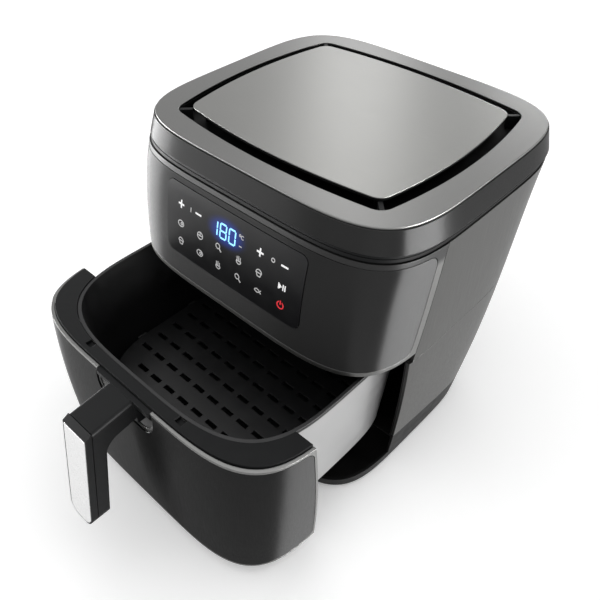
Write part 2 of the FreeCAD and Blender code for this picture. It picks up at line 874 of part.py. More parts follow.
def is_grip_edge(edge):
    """Whether an edge of the arm is one of the long side edges that a hand closes round."""
    middle = edge.CenterOfMass
    at_side = abs(middle.x) > arm_half - fit_gap
    clear_of_root = middle.y < handle_face - fit_gap
    behind_front = middle.y > line_at(middle.z, (grip_tip, grip_bottom), (elbow, knee)) + fit_gap
    return at_side and clear_of_root and behind_front and middle.z > grip_bottom + fit_gap


def make_handle():
    """The handle: its root in the scoop, the arm, the grip cover, the plate and the screws."""
    inner = split_front + wall + root_depth
    root = scoop(-seam).common(box(-far, far, handle_face, inner, 0, handle_top))
    front_edges = edges_along(root, up, lambda middle: middle.y < handle_face + fit_gap)
    root = root.makeFillet(root_edge_radius, front_edges)
    below_ring = drawer_shape(ring_inset - fit_gap).common(slab(ring_bottom - fit_gap, far))
    root = root.cut(below_ring)
    back = handle_face + hollow_depth
    for side in (-1, 1):
        hollow = box(arm_half + seam, far, handle_face - overshoot, back, 0, handle_top - hollow_roof)
        if side < 0:
            hollow = hollow.mirror(Vector(0, 0, 0), sideways)
        root = root.cut(hollow)
    arm = prism([(handle_face, handle_top - arm_thickness), (handle_face, handle_top), (elbow, knee),
                 (grip_tip, grip_bottom), (grip_tip + grip_end_back, grip_bottom),
                 (elbow + grip_back, knee - arm_thickness)], arm_half)
    arm_end = handle_face - fit_gap
    bend = edges_along(arm, sideways, lambda middle: middle.z < knee and elbow < middle.y < arm_end)
    arm = arm.makeFillet(elbow_radius, bend)
    heel_y = (grip_tip + elbow) / 2
    heel = edges_along(arm, sideways, lambda middle: middle.z < grip_bottom + fit_gap and middle.y > heel_y)
    arm = arm.makeFillet(grip_heel_radius, heel)
    arm = arm.makeFillet(grip_edge_radius, [edge for edge in arm.Edges if is_grip_edge(edge)])
    arm = arm.common(grip_window(0, far))
    screws = []
    level = handle_top - arm_thickness / 2
    for x in (-handle_screw_place, handle_screw_place):
        screws.append(screw(x, inner, level, forward, handle_screw_length))
        hole = screw(x, inner, level, forward, handle_screw_length, fit_gap / 2)
        root = root.cut(hole)
        arm = arm.cut(hole)
    put("handle_root", root, True)
    put("handle_arm", arm, True)
    put("handle_screws", Part.makeCompound(screws), True)
    front = grip_cover + seam
    cover = prism([(elbow - seam, knee), (elbow - front, shoulder), (grip_tip - front, grip_bottom),
                   (grip_tip - seam, grip_bottom)], arm_half)
    pocket_back = front + plate_proud - plate_thickness
    pocket = grip_layer(pocket_back - fit_gap, front + overshoot)
    pocket = pocket.common(grip_window(plate_inset - fit_gap, far)).common(slab(0, plate_top + fit_gap))
    put("handle_cover", cover.common(grip_window(0, far)).cut(pocket), True)
    strip = grip_layer(pocket_back, front + plate_proud)
    put("handle_plate", strip.common(grip_window(plate_inset, far)).common(slab(0, plate_top)), True)


make_base()
make_lower_shell()
make_upper_shell()
make_front()
make_rim()
make_top()
make_chamber()
make_heater()
make_motor()
make_bay()
make_drawer_front()
make_pan()
make_tray()
make_handle()

# The origin is the middle of the whole footprint, on the worktop.
boxes = [shape.optimalBoundingBox(False) for shape in pieces.values()]
front_end = min(b.YMin for b in boxes)
back_end = max(b.YMax for b in boxes)
to_origin = rearward * (-(front_end + back_end) / 2)
os.makedirs("parts", exist_ok=True)
for name, shape in pieces.items():
    shape.translate(to_origin)
    shape.exportStep("parts/" + name + ".step")
print("rim axis at y", round(to_origin.y, 3), "motor axis at y", round(to_origin.y + motor_y, 3))
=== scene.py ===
# %% [markdown]
# # A drawer-type air fryer, dressed for a studio picture
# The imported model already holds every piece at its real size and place. This lesson
# loads it, gives each piece the finish of its real material, adds the marks on the touch
# panel, and sets up floor, lights and camera. Blender's own lengths are metres, so sizes
# that are easier to think of in millimetres are multiplied by MM.

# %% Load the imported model
import bpy
import numpy as np
from math import radians
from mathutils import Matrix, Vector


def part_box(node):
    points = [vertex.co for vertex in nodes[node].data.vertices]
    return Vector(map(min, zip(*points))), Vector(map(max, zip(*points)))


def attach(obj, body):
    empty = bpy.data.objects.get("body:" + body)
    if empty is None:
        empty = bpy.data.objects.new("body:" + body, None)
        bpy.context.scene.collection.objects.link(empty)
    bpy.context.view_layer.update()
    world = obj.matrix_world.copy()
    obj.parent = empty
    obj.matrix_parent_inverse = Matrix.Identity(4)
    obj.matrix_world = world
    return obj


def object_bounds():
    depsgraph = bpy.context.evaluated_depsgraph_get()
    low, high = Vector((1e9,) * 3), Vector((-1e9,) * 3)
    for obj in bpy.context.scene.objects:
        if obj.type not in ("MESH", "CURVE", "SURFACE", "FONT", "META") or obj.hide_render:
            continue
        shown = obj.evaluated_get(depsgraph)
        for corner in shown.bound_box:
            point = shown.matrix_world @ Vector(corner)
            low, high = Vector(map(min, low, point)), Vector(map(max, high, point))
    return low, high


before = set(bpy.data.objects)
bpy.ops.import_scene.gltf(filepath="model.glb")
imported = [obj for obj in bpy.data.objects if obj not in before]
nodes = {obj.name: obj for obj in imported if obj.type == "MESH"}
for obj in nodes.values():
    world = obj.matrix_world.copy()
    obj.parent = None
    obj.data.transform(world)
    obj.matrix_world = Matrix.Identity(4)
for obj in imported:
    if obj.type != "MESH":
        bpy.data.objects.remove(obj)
cad_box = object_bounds()
MM = 0.001

# %% [markdown]
# ## Small helpers for materials
# A material in Blender is a graph of nodes. A few helpers keep the graphs short. One turns a
# colour as a designer writes it (sRGB hex) into the linear numbers that the renderer needs, and
# one starts a material with its main shader. Two more add a node and link two sockets, and the
# last one gives pieces their finish.

# %% Colour, material and node helpers
def linear(hex_colour):
    """sRGB hex to linear RGBA: c/12.92 up to 0.04045, else ((c + 0.055)/1.055)^2.4."""
    value = np.array([int(hex_colour[i:i + 2], 16) for i in (1, 3, 5)]) / 255.0
    rgb = np.where(value <= 0.04045, value / 12.92, ((value + 0.055) / 1.055) ** 2.4)
    return (*rgb.tolist(), 1.0)


def start_material(name, colour, metallic, roughness, **sockets):
    """A named material whose main shader has its constant values set on its own sockets."""
    material = bpy.data.materials.new(name)
    material.use_nodes = True
    shader = material.node_tree.nodes["Principled BSDF"]
    shader.inputs["Base Color"].default_value = linear(colour)
    shader.inputs["Metallic"].default_value = metallic
    shader.inputs["Roughness"].default_value = roughness
    for socket, value in sockets.items():
        shader.inputs[socket.replace("_", " ")].default_value = value
    return material, shader


def add_node(owner, kind, values=None, links=None, **settings):
    """Adds one node: settings are its properties, values its sockets, links socket -> source."""
    node = owner.node_tree.nodes.new("ShaderNode" + kind)
    for key, value in settings.items():
        setattr(node, key, value)
    for socket, value in (values or {}).items():
        node.inputs[socket].default_value = value
    for socket, source in (links or {}).items():
        owner.node_tree.links.new(source, node.inputs[socket])
    return node


def join(owner, source, target):
    """Links an output socket to an input socket."""
    owner.node_tree.links.new(source, target)


def dress(material, *names):
    """Gives CAD pieces their finish by filling their material slots."""
    for name in names:
        slots = nodes[name].data.materials
        slots.clear()
        slots.append(material)
    print(material.name, "on", ", ".join(names))


print("the middle grey #808080 is", round(linear("#808080")[0], 3), "in linear light")

# %% [markdown]
# ## Brushed metal and metallic lacquer
# Brushed steel gets its look from an abrasive belt, which leaves fine parallel lines: the shine
# spreads across them. A metallic lacquer is sprayed, and its flakes shine in much the same way,
# so one recipe serves both. Noise that is drawn out along one direction changes tone and
# roughness a little and raises a very shallow bump. Corners catch light on a real piece because
# they are slightly rounded, and the Bevel node imitates that without touching the mesh.

# %% A recipe for metal with grain
edge_round = 0.7 * MM
noise_span = {"From Min": 0.3, "From Max": 0.7}
grain_tones = (0.95, 1.04)
shine_drop, shine_rise = 0.05, 0.06
grain_bump = 0.15
quarter_turn = 0.25


def brushed_metal(name, colour, roughness, stretch, depth_mm, line_mm=0.5, spread=0.0):
    """Metal with grain: noise with a line_mm wide cell, drawn out by stretch (x, y, z). A spread
    above zero draws the shine out upwards and downwards, as grain that runs round the body does."""
    material, shader = start_material(name, colour, 1.0, roughness)
    place = add_node(material, "TexCoord")
    scale = tuple(1.0 / (line_mm * MM * share) for share in stretch)
    mapping = add_node(material, "Mapping", {"Scale": scale}, {"Vector": place.outputs["Object"]})
    grain = add_node(material, "TexNoise", {"Scale": 1.0, "Detail": 3.0, "Roughness": 0.6},
                     {"Vector": mapping.outputs["Vector"]})
    shine = add_node(material, "MapRange", {**noise_span, "To Min": roughness - shine_drop,
                                            "To Max": roughness + shine_rise},
                     {"Value": grain.outputs["Fac"]})
    join(material, shine.outputs["Result"], shader.inputs["Roughness"])
    tone = np.array(linear(colour)[:3])
    ramp = add_node(material, "ValToRGB", links={"Fac": grain.outputs["Fac"]})
    for element, position, share in zip(ramp.color_ramp.elements, noise_span.values(), grain_tones):
        element.position = position
        element.color = (*(tone * share).clip(0, 1).tolist(), 1.0)
    join(material, ramp.outputs["Color"], shader.inputs["Base Color"])
    bevel = add_node(material, "Bevel", {"Radius": edge_round}, samples=4)
    bump = add_node(material, "Bump", {"Strength": grain_bump, "Distance": depth_mm * MM},
                    {"Height": grain.outputs["Fac"], "Normal": bevel.outputs["Normal"]})
    join(material, bump.outputs["Normal"], shader.inputs["Normal"])
    if spread:
        around = add_node(material, "Tangent", direction_type="RADIAL", axis="Z")
        join(material, around.outputs["Tangent"], shader.inputs["Tangent"])
        shader.inputs["Anisotropic"].default_value = spread
        shader.inputs["Anisotropic Rotation"].default_value = quarter_turn
    return material


print("corners are shaded as if rounded by", edge_round / MM, "mm")

# %% [markdown]
# ## The lid, the rim and the shells
# The floating lid panel is thin stainless steel, brushed from left to right. The rim round it is
# steel as well, with an even satin. The shells below are mouldings under a metallic lacquer: pale
# on the drawer's front as a painted highlight on its edge, graphite on the shells, darkest on the
# rim band and the two front inserts, with the drawer's insert darker still as painted shade.
# Real brush lines are about 0.1 mm apart, too fine for this picture, so they are drawn wider.

# %% Finishes of the outside
upright = (1, 1, 60)

# Pale steel with faint lines from side to side and a soft, wide shine.
lid_steel = brushed_metal("brushed_stainless_lid", "#767674", 0.33, (90, 1, 1), 0.008)
dress(lid_steel, "top_panel")
# A slightly darker, even satin that sets off the lid.
rim_steel = brushed_metal("satin_stainless_rim", "#6a6a69", 0.33, (1, 1, 1), 0.01)
dress(rim_steel, "top_ring")
# Dark grey whose shine runs up and down the round flanks.
graphite = brushed_metal("graphite_lacquered_shell", "#3a3a39", 0.40, upright, 0.02, spread=0.5)
dress(graphite, "upper_shell", "lower_shell")
# A paler lacquer on the drawer front: a painted highlight, the pale line along its edge.
pale_lacquer_painted_highlight = brushed_metal("satin_lacquer_painted_highlight", "#6c6c6b", 0.36, upright, 0.02, spread=0.5)
dress(pale_lacquer_painted_highlight, "drawer_front")
# Nearly black, with tall soft streaks of light.
dark_lacquer = brushed_metal("dark_lacquered_insert", "#303030", 0.44, upright, 0.02, spread=1.0)
dress(dark_lacquer, "front_insert", "rim_band")
# The upper insert's lacquer, duller, and darker as painted shade, so that the drawer's front stays calm below
# the shining one.
drawer_lacquer_painted_shade = brushed_metal("insert_lacquer_with_painted_shade", "#282828", 0.5, upright, 0.02, spread=1.0)
dress(drawer_lacquer_painted_shade, "drawer_insert")
# The one mirror-bright piece: a thin plate on the grip.
bright_plate = brushed_metal("brushed_bright_plate", "#dcdcdc", 0.26, upright, 0.01, line_mm=0.4)
dress(bright_plate, "handle_plate")

# %% [markdown]
# ## Steel inside
# The chamber, its shield, the fans and the small hardware are rolled or pressed steel sheet. They
# are hidden unless the drawer is out, and only need a plain grey shine with flat rolling marks.

# %% Finish of the inner steel
# Light grey with level streaks from the rolling mill.
sheet_steel = brushed_metal("rolled_steel_sheet", "#b2b2b2", 0.30, (40, 40, 1), 0.02, line_mm=0.6)
dress(sheet_steel, "cooking_chamber", "heat_shield", "motor_bracket", "heater_guard",
      "heating_element", "temperature_sensor", "thermal_cutout", "motor_shaft", "convection_fan",
      "cooling_fan", "motor_stator", "base_screws", "handle_screws", "drawer_magnet")

# %% [markdown]
# ## Metals with painted shade and a painted highlight
# Behind the drawer's front and along its top edge the pan is black and dark: painted shade, so that
# nothing bright shows in the hollow beside the handle or under the pot's lip. The frame round the
# upper insert is paler than the shells' lacquer, a painted highlight on its lower edge, and darker
# above, where it meets the rim. Both are one material each, whose colour blends into another one
# at a place along an axis that is measured on the piece.

# %% Metals with painted shade and a painted highlight
def blend_along_axis(material, axis, start, end, colour):
    """Blends the material's own colour into another one between two places along an axis."""
    target = material.node_tree.nodes["Principled BSDF"].inputs["Base Color"]
    place = add_node(material, "TexCoord")
    along = add_node(material, "SeparateXYZ", links={"Vector": place.outputs["Object"]})
    mask = add_node(material, "MapRange", {"From Min": start, "From Max": end},
                    {"Value": along.outputs[axis]})
    tone = add_node(material, "MixRGB", {"Color2": linear(colour)},
                    {"Fac": mask.outputs["Result"], "Color1": target.links[0].from_socket})
    join(material, tone.outputs["Color"], target)


# Smooth pale steel at the side, with painted shade: black in front and dark along the top edge.
pan_low, pan_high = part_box("outer_pan")
pan_steel_painted_shade = brushed_metal("rolled_steel_pan_painted_shade", "#a8a8a8", 0.34, (60, 60, 1), 0.006, line_mm=0.6)
blend_along_axis(pan_steel_painted_shade, "Y", pan_low.y + 25 * MM, pan_low.y + 24 * MM, "#0a0a0a")
blend_along_axis(pan_steel_painted_shade, "Z", pan_high.z - 3 * MM, pan_high.z - 2 * MM, "#161616")
dress(pan_steel_painted_shade, "outer_pan")
# A satin border, paler than the shells' lacquer as a painted highlight, that fades into the dark of the rim
# band above it.
frame_lacquer_painted_highlight = brushed_metal("satin_frame_painted_highlight", "#5a5a59", 0.36, upright, 0.02, spread=0.5)
frame_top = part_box("front_frame")[1].z
blend_along_axis(frame_lacquer_painted_highlight, "Z", frame_top - 16 * MM, frame_top - 10 * MM, "#303030")
dress(frame_lacquer_painted_highlight, "front_frame")

# %% [markdown]
# ## Moulded plastics, rubber and coating
# Mouldings take their texture from the mould: a spark-eroded one gives a fine matte grain. The
# pot's sprayed non-stick coating and the boards' solder mask are plastics as well, so the same
# recipe serves them: fine noise as bump, and a shine that wanders a little from place to place.

# %% A recipe for moulded plastic
mould_bump = 0.25
wander_mm = 12.0
shine_low, shine_high = -0.04, 0.06


def mottle(material, target, cell_mm, low, high):
    """Lets a socket wander between low and high with soft noise of a real cell size."""
    place = add_node(material, "TexCoord")
    noise = add_node(material, "TexNoise", {"Scale": 1.0 / (cell_mm * MM), "Detail": 2.0},
                     {"Vector": place.outputs["Object"]})
    value = add_node(material, "MapRange", {**noise_span, "To Min": low, "To Max": high},
                     {"Value": noise.outputs["Fac"]})
    join(material, value.outputs["Result"], target)


def moulded(name, colour, roughness, grain_mm, depth_mm, **sockets):
    """Plastic with the grain of its mould: fine noise as bump, and a little unevenness in shine."""
    material, shader = start_material(name, colour, 0.0, roughness, **sockets)
    place = add_node(material, "TexCoord")
    grain = add_node(material, "TexNoise", {"Scale": 1.0 / (grain_mm * MM), "Detail": 2.0},
                     {"Vector": place.outputs["Object"]})
    mottle(material, shader.inputs["Roughness"], wander_mm, roughness + shine_low, roughness + shine_high)
    bevel = add_node(material, "Bevel", {"Radius": edge_round}, samples=4)
    bump = add_node(material, "Bump", {"Strength": mould_bump, "Distance": depth_mm * MM},
                    {"Height": grain.outputs["Fac"], "Normal": bevel.outputs["Normal"]})
    join(material, bump.outputs["Normal"], shader.inputs["Normal"])
    return material


print("the shine of plastics wanders over cells of", wander_mm, "mm")

# %% [markdown]
# ## The dark pieces
# Handle, drawer ring and grille are black matte ABS. The bay and the base are the same plastic,
# but in shadow, and a little darker here as painted shade, so that the gap below the drawer
# looks deep.

# %% Finishes of the dark pieces
# Soft black with a fine grain and hardly any mirror shine.
matte_abs = moulded("moulded_matte_abs", "#0a0b0c", 0.5, 0.8, 0.05, Specular_IOR_Level=0.12)
dress(matte_abs, "drawer_ring", "handle_root", "handle_arm", "handle_cover", "panel_carrier",
      "rear_grille", "cable_gland", "drawer_rails", "drawer_switch", "display_module",
      "corner_spacers", "trim_strip")
# Deeper black for hollows: painted shade.
abs_painted_shade = moulded("moulded_abs_painted_shade", "#050505", 0.5, 0.8, 0.05, Specular_IOR_Level=0.12)
dress(abs_painted_shade, "base_pan", "drawer_bay", "inlet_dish", "panel_posts")
# Dull grey-black without any shine.
feet_rubber = moulded("moulded_rubber", "#161616", 0.8, 0.6, 0.05)
dress(feet_rubber, "rubber_feet", "tray_bumpers")
# The green of printed circuit boards.
board_mask = moulded("circuit_board_mask", "#12402a", 0.4, 1.0, 0.02)
dress(board_mask, "display_board", "power_board")
# Black with a faint sheen and the slight orange peel of a sprayed coat.
coating = moulded("sprayed_nonstick_coating", "#121213", 0.42, 0.6, 0.06, Specular_IOR_Level=0.35)
dress(coating, "inner_pot", "crisper_tray")

# %% [markdown]
# ## Where the pane's front lies
# Digits and keys are printed or lit marks on a curved pane. To lay them on it, its front is first
# fitted with a smooth formula y = a + b x^2 + c x^4 + d z + e z^2 + f x^2 z through the front
# corners of its own mesh. Each round of the fit drops the corners that lie behind it. The rows
# of keys are measured down from the rim's top, the columns from the middle.

# %% The pane's front as a formula
columns = np.array([-60, -35, -12, 12, 35, 60]) * MM
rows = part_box("top_ring")[1].z - np.array([52, 70, 87]) * MM
pane_mesh = nodes["control_glass"].data
corners = np.zeros(len(pane_mesh.vertices) * 3)
pane_mesh.vertices.foreach_get("co", corners)
corners = corners.reshape(-1, 3)
pane_low, pane_high = (np.array(v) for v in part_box("control_glass"))
pane_z = (pane_low[2] + pane_high[2]) / 2
fit_rounds = 5
fit_margin = 0.1 * MM


def terms(x, z):
    """The terms of the formula for the pane's front, with z taken from the pane's middle."""
    z = z - pane_z
    return np.stack([np.ones_like(x), x ** 2, x ** 4, z, z ** 2, x ** 2 * z], -1)


def fit(points):
    """Least squares through the points: the formula's six numbers, and how far each point is off."""
    table = terms(points[:, 0], points[:, 2])
    numbers = np.linalg.lstsq(table, points[:, 1], rcond=None)[0]
    return numbers, points[:, 1] - table @ numbers


def pane_front(x, z):
    """Y of the pane's front at x and z."""
    return terms(np.asarray(x), np.asarray(z)) @ solution


solution, error = fit(corners)
for _ in range(fit_rounds):
    corners = corners[error < np.median(error) + fit_margin]
    solution, error = fit(corners)
print("pane formula fits to", round(float(abs(error).max()) / MM, 3), "mm")

# %% [markdown]
# ## The touch pane
# The pane is glass with a black print on its back, so it looks nearly black with a faint sheen.
# The lit digits shine through, and the blue round them on the glass is painted light: a soft egg
# of blue glow round the display's middle is added to the glass.

# %% Touch pane
display_x = -8 * MM
display_z = rows[0] - 1.8 * MM
glow_x = display_x + 3.5 * MM
glow_middle = (glow_x, float(pane_front(glow_x, display_z)), display_z)
glow_core = 4 * MM
glow_reach = 16 * MM
glow_strength = 0.24
glow_squeeze = (0.6, 1, 1)

# Near-black glass with a painted blue glow behind the digits.
pane, pane_shader = start_material("black_backed_glass", "#101012", 0.0, 0.34, Specular_IOR_Level=0.17)
pane_place = add_node(pane, "TexCoord")
pane_shift = add_node(pane, "VectorMath", {1: glow_middle}, {0: pane_place.outputs["Object"]},
                      operation="SUBTRACT")
pane_squeeze = add_node(pane, "VectorMath", {1: glow_squeeze}, {0: pane_shift.outputs[0]},
                        operation="MULTIPLY")
pane_length = add_node(pane, "VectorMath", links={0: pane_squeeze.outputs[0]}, operation="LENGTH")
pane_glow = add_node(pane, "MapRange", {"From Min": glow_core, "From Max": glow_reach,
                                        "To Min": glow_strength, "To Max": 0.0},
                     {"Value": pane_length.outputs["Value"]}, interpolation_type="SMOOTHERSTEP")
join(pane, pane_glow.outputs["Result"], pane_shader.inputs["Emission Strength"])
pane_shader.inputs["Emission Color"].default_value = linear("#1a5cff")
mottle(pane, pane_shader.inputs["Roughness"], 14.0, 0.31, 0.37)
dress(pane, "control_glass")

# %% [markdown]
# ## Strokes on the pane
# Each mark is a thin bar of square section that is carried along a flat path and laid on the
# pane's front with the formula above, half sunk into the glass so that no gap shows.

# %% Strokes laid on the pane
mark_depth = 0.2 * MM


def stroke(path, width, closed=False):
    """A bar of square section carried along a flat (x, z) path: the points are path +- n width/2,
    with n square to the path, each at y = pane_front -+ mark_depth. Rings of four points are
    joined to the next ring, and the ends of an open path are capped."""
    if closed:
        ahead = np.roll(path, -1, 0) - np.roll(path, 1, 0)
    else:
        ahead = np.gradient(path, axis=0)
    ahead /= np.linalg.norm(ahead, axis=1)[:, None]
    side = np.stack([-ahead[:, 1], ahead[:, 0]], -1) * width / 2
    edges = np.stack([path + side, path - side, path - side, path + side], 1)
    lift = np.array([-1, -1, 1, 1]) * mark_depth
    x, z = edges[..., 0], edges[..., 1]
    points = np.stack([x, pane_front(x, z) + lift, z], -1).reshape(-1, 3)
    count = len(path)
    k = np.arange(count if closed else count - 1)[:, None]
    a = np.arange(4)
    b = (a + 1) % 4
    following = (k + 1) % count
    faces = np.stack([4 * k + a, 4 * k + b, 4 * following + b, 4 * following + a], -1).reshape(-1, 4)
    if not closed:
        caps = np.array([a[::-1], 4 * (count - 1) + a])
        faces = np.concatenate([faces, caps])
    return points, faces


def bar(x0, z0, x1, z1, count=8):
    """A straight path p0 (1 - t) + p1 t of a few points, so that it can follow the curved pane."""
    t = np.linspace(0, 1, count)[:, None]
    return np.array([[x0, z0]]) * (1 - t) + np.array([[x1, z1]]) * t


def make_piece(name, strokes, material, body="housing"):
    """One object from several (points, faces) shapes, riding on a body."""
    starts = np.cumsum([0] + [len(points) for points, _ in strokes])
    points = np.concatenate([points for points, _ in strokes])
    faces = np.concatenate([faces + start for (_, faces), start in zip(strokes, starts)])
    mesh = bpy.data.meshes.new(name)
    mesh.from_pydata(points.tolist(), [], faces.tolist())
    mesh.validate()
    mesh.materials.append(material)
    piece = bpy.data.objects.new(name, mesh)
    bpy.context.scene.collection.objects.link(piece)
    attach(piece, body)
    print("made", name, "with", len(mesh.polygons), "faces")


print("marks stand", mark_depth / MM, "mm proud of the glass")

# %% [markdown]
# ## Lit and printed marks
# The digits are light-emitting segments, the keys pale print that is lit from behind, and the
# power key is red. All of them get a little light of their own, which wanders slightly, as a
# diffuser film behind the print does.

# %% Mark materials
def lit(name, colour, strength):
    """A lit or printed mark: its own colour with a little light of its own."""
    material, shader = start_material(name, colour, 0.0, 0.4, Emission_Strength=strength)
    shader.inputs["Emission Color"].default_value = linear(colour)
    mottle(material, shader.inputs["Emission Strength"], 2.0, strength * 0.9, strength * 1.1)
    print(name, "shines with strength", strength)
    return material


# Icy blue-white, the brightest thing on the pane.
digit_light = lit("lit_digit_segments", "#8fd6ff", 1.0)
# White print for the keys that are pressed most.
key_print = lit("pale_key_print", "#e6e6e6", 0.55)
# Dimmer grey print for the programmes.
soft_print = lit("grey_key_print", "#c4c4c4", 0.3)
# Red print for the power key.
red_print = lit("red_key_print", "#e0303a", 0.55)

# %% [markdown]
# ## Digits
# A seven-segment display draws every digit from the same seven strokes. Each stroke is given by
# its two ends on a digit that is one wide and one high, and is shortened so that neighbours
# don't touch.

# %% Digits
digit_width = 7.0 * MM
digit_height = 12.5 * MM
digit_pitch = 10.5 * MM
digit_left = display_x - digit_pitch - digit_width / 2
segment_width = 1.35 * MM
segment_gap = 0.07
SEGMENTS = {"a": ((0, 1), (1, 1)), "b": ((1, 0.5), (1, 1)), "c": ((1, 0), (1, 0.5)),
            "d": ((0, 0), (1, 0)), "e": ((0, 0), (0, 0.5)), "f": ((0, 0.5), (0, 1)),
            "g": ((0, 0.5), (1, 0.5))}
LIT = ("bc", "abcdefg", "abcdef")
digit_strokes = []
for place, lit_segments in enumerate(LIT):
    for letter in lit_segments:
        ends = np.array(SEGMENTS[letter], float)
        gap = (ends[1] - ends[0]) * segment_gap
        ends = np.stack([ends[0] + gap, ends[1] - gap])
        x = digit_left + place * digit_pitch + ends[:, 0] * digit_width
        z = display_z + (ends[:, 1] - 0.5) * digit_height
        digit_strokes.append(stroke(bar(x[0], z[0], x[1], z[1]), segment_width))
make_piece("display_digits", digit_strokes, digit_light)

# %% [markdown]
# ## Value, play and power keys
# A drawing is a list of (path, width, closed) in millimetres about the key's middle. The play
# sign is a triangle of four upright bars, each shorter than the one before, next to two bars for
# pause. The power sign is an open ring with a bar in its gap.

# %% Plus, minus, play and power keys
thick = 1.5
thin = 0.8
arm = 3.6


def arc(x, z, rx, rz, start, end, count=28):
    """Part of an ellipse (x + rx cos t, z + rz sin t), from one angle to another in degrees."""
    t = np.radians(np.linspace(start, end, count))
    return np.stack([x + rx * np.cos(t), z + rz * np.sin(t)], -1)


def lay(drawing, x, z):
    """The strokes of a drawing, moved to a key's middle at x and z."""
    return [stroke(np.array([x, z]) + path * MM, width * MM, closed) for path, width, closed in drawing]


minus = [(bar(-arm, 0, arm, 0), thick, False)]
plus = minus + [(bar(0, -arm, 0, -thick / 2), thick, False),
                (bar(0, thick / 2, 0, arm), thick, False)]
play = []
for k in range(4):
    reach = 2.6 - k * 0.75
    play.append((bar(k * 0.9 - 3.4, -reach, k * 0.9 - 3.4, reach), 0.95, False))
for x in (1.2, 3.2):
    play.append((bar(x, -2.6, x, 2.6), 1.1, False))
power = [(arc(0, 0, 3.2, 3.2, 120, 420), thin * 1.2, False),
         (bar(0, 0.4, 0, 4.2), thin * 1.2, False)]
key_strokes = lay(plus, -60.5 * MM, rows[0]) + lay(plus, 34 * MM, rows[0])
key_strokes += lay(minus, -38.5 * MM, rows[0]) + lay(minus, 60 * MM, rows[0])
key_strokes += lay(play, columns[5], rows[1])
make_piece("value_keys", key_strokes, key_print)
make_piece("power_key", lay(power, columns[5], rows[2]), red_print)

# %% [markdown]
# ## Programme keys
# The other keys are small generic outlines made of arcs and bars: two rows of five. The marks
# between the value keys and the unit beside the digits are in the same grey print.

# %% Programme keys
lens = [(arc(-0.6, -1.6, 3.2, 3.2, 30, 150), thin, False),
        (arc(-0.6, 1.6, 3.2, 3.2, 210, 330), thin, False),
        (bar(2.3, 0, 3.8, 1.6), thin, False),
        (bar(2.3, 0, 3.8, -1.6), thin, False)]
cup = [(arc(0, 0, 3.0, 3.0, 0, 180), thin, False),
       (bar(-3.4, 0, 3.4, 0), thin, False),
       (bar(-2.4, -0.6, -1.6, -3.2), thin, False),
       (bar(2.4, -0.6, 1.6, -3.2), thin, False),
       (bar(-1.6, -3.2, 1.6, -3.2), thin, False)]
oval = [(arc(0, 0, 3.6, 2.8, 0, 348, 40), thin, True),
        (arc(1.0, 0, 1.1, 1.1, 0, 342, 20), thin, True)]
club = [(arc(-0.9, 0.9, 2.3, 2.3, 0, 348, 30), thin, True),
        (bar(0.8, -0.8, 3.2, -3.2), thin * 1.3, False)]
sticks = [(bar(-1.8, -0.4, -1.8, 3.0), thin, False),
          (bar(0, -0.4, 0, 3.6), thin, False),
          (bar(1.8, -0.4, 1.8, 2.8), thin, False),
          (bar(-2.8, -0.9, 2.8, -0.9), thin, False),
          (arc(0, -1.0, 2.6, 2.6, 190, 350), thin, False)]
wheel = [(arc(0, 0, 3.2, 3.2, 0, 348, 36), thin, True),
         (bar(-2.6, 0, 2.6, 0), thin, False),
         (bar(0, 0.6, 0, 2.6), thin, False)]
between = [(arc(48, 0, 1.6, 1.6, 0, 342, 20), thin, True),
           (bar(-48, -2, -48, 2), thin, False),
           (bar(11, -5.5, 14, -5.5), thin, False),
           (arc(11, 3.6, 0.9, 0.9, 0, 342, 16), thin * 0.7, True),
           (arc(14, 2.8, 1.5, 1.5, 40, 320, 16), thin * 0.7, False)]
KEYS = ((oval, wheel, club, sticks, cup), (cup, oval, sticks, club, lens))
programme = []
for drawings, row in zip(KEYS, rows[1:]):
    for drawing, column in zip(drawings, columns):
        programme += lay(drawing, column, row)
programme += lay(between, 0, rows[0])
make_piece("programme_keys", programme, soft_print)

# %% [markdown]
# ## Floor
# The picture has a white ground with a soft shadow. A large sheet of white paper carries it. Paper
# under soft light would still come out grey, and greyer far away, so it is lifted towards white
# by a little light of its own. Only the camera and mirror-like surfaces see that lift: it adds no
# light to the object. It grows with distance, so that near the object the shadow stays.

# %% Floor
floor_half = 6.0
lift_start, lift_end = 0.6, 2.2
lift_near, lift_far = 0.25, 1.0
floor_mesh = bpy.data.meshes.new("studio_floor")
floor_mesh.from_pydata([(-floor_half, -floor_half, 0), (floor_half, -floor_half, 0),
                        (floor_half, floor_half, 0), (-floor_half, floor_half, 0)], [], [(0, 1, 2, 3)])
floor = bpy.data.objects.new("studio_floor", floor_mesh)
bpy.context.scene.collection.objects.link(floor)

# Dull white with the faint unevenness of uncoated paper.
paper, paper_shader = start_material("white_paper", "#fafafa", 0.0, 0.9)
mottle(paper, paper_shader.inputs["Roughness"], 3.0, 0.85, 0.95)
floor_mesh.materials.append(paper)
paper_rays = add_node(paper, "LightPath")
paper_seen = add_node(paper, "Math", links={0: paper_rays.outputs["Is Camera Ray"],
                                            1: paper_rays.outputs["Is Glossy Ray"]},
                      operation="MAXIMUM")
paper_place = add_node(paper, "TexCoord")
paper_away = add_node(paper, "VectorMath", links={0: paper_place.outputs["Object"]}, operation="LENGTH")
paper_lift = add_node(paper, "MapRange", {"From Min": lift_start, "From Max": lift_end,
                                          "To Min": lift_near, "To Max": lift_far},
                      {"Value": paper_away.outputs["Value"]}, interpolation_type="SMOOTHSTEP")
paper_white = add_node(paper, "Math", links={0: paper_seen.outputs[0], 1: paper_lift.outputs["Result"]},
                       operation="MULTIPLY")
join(paper, paper_white.outputs[0], paper_shader.inputs["Emission Strength"])
paper_shader.inputs["Emission Color"].default_value = linear("#ffffff")
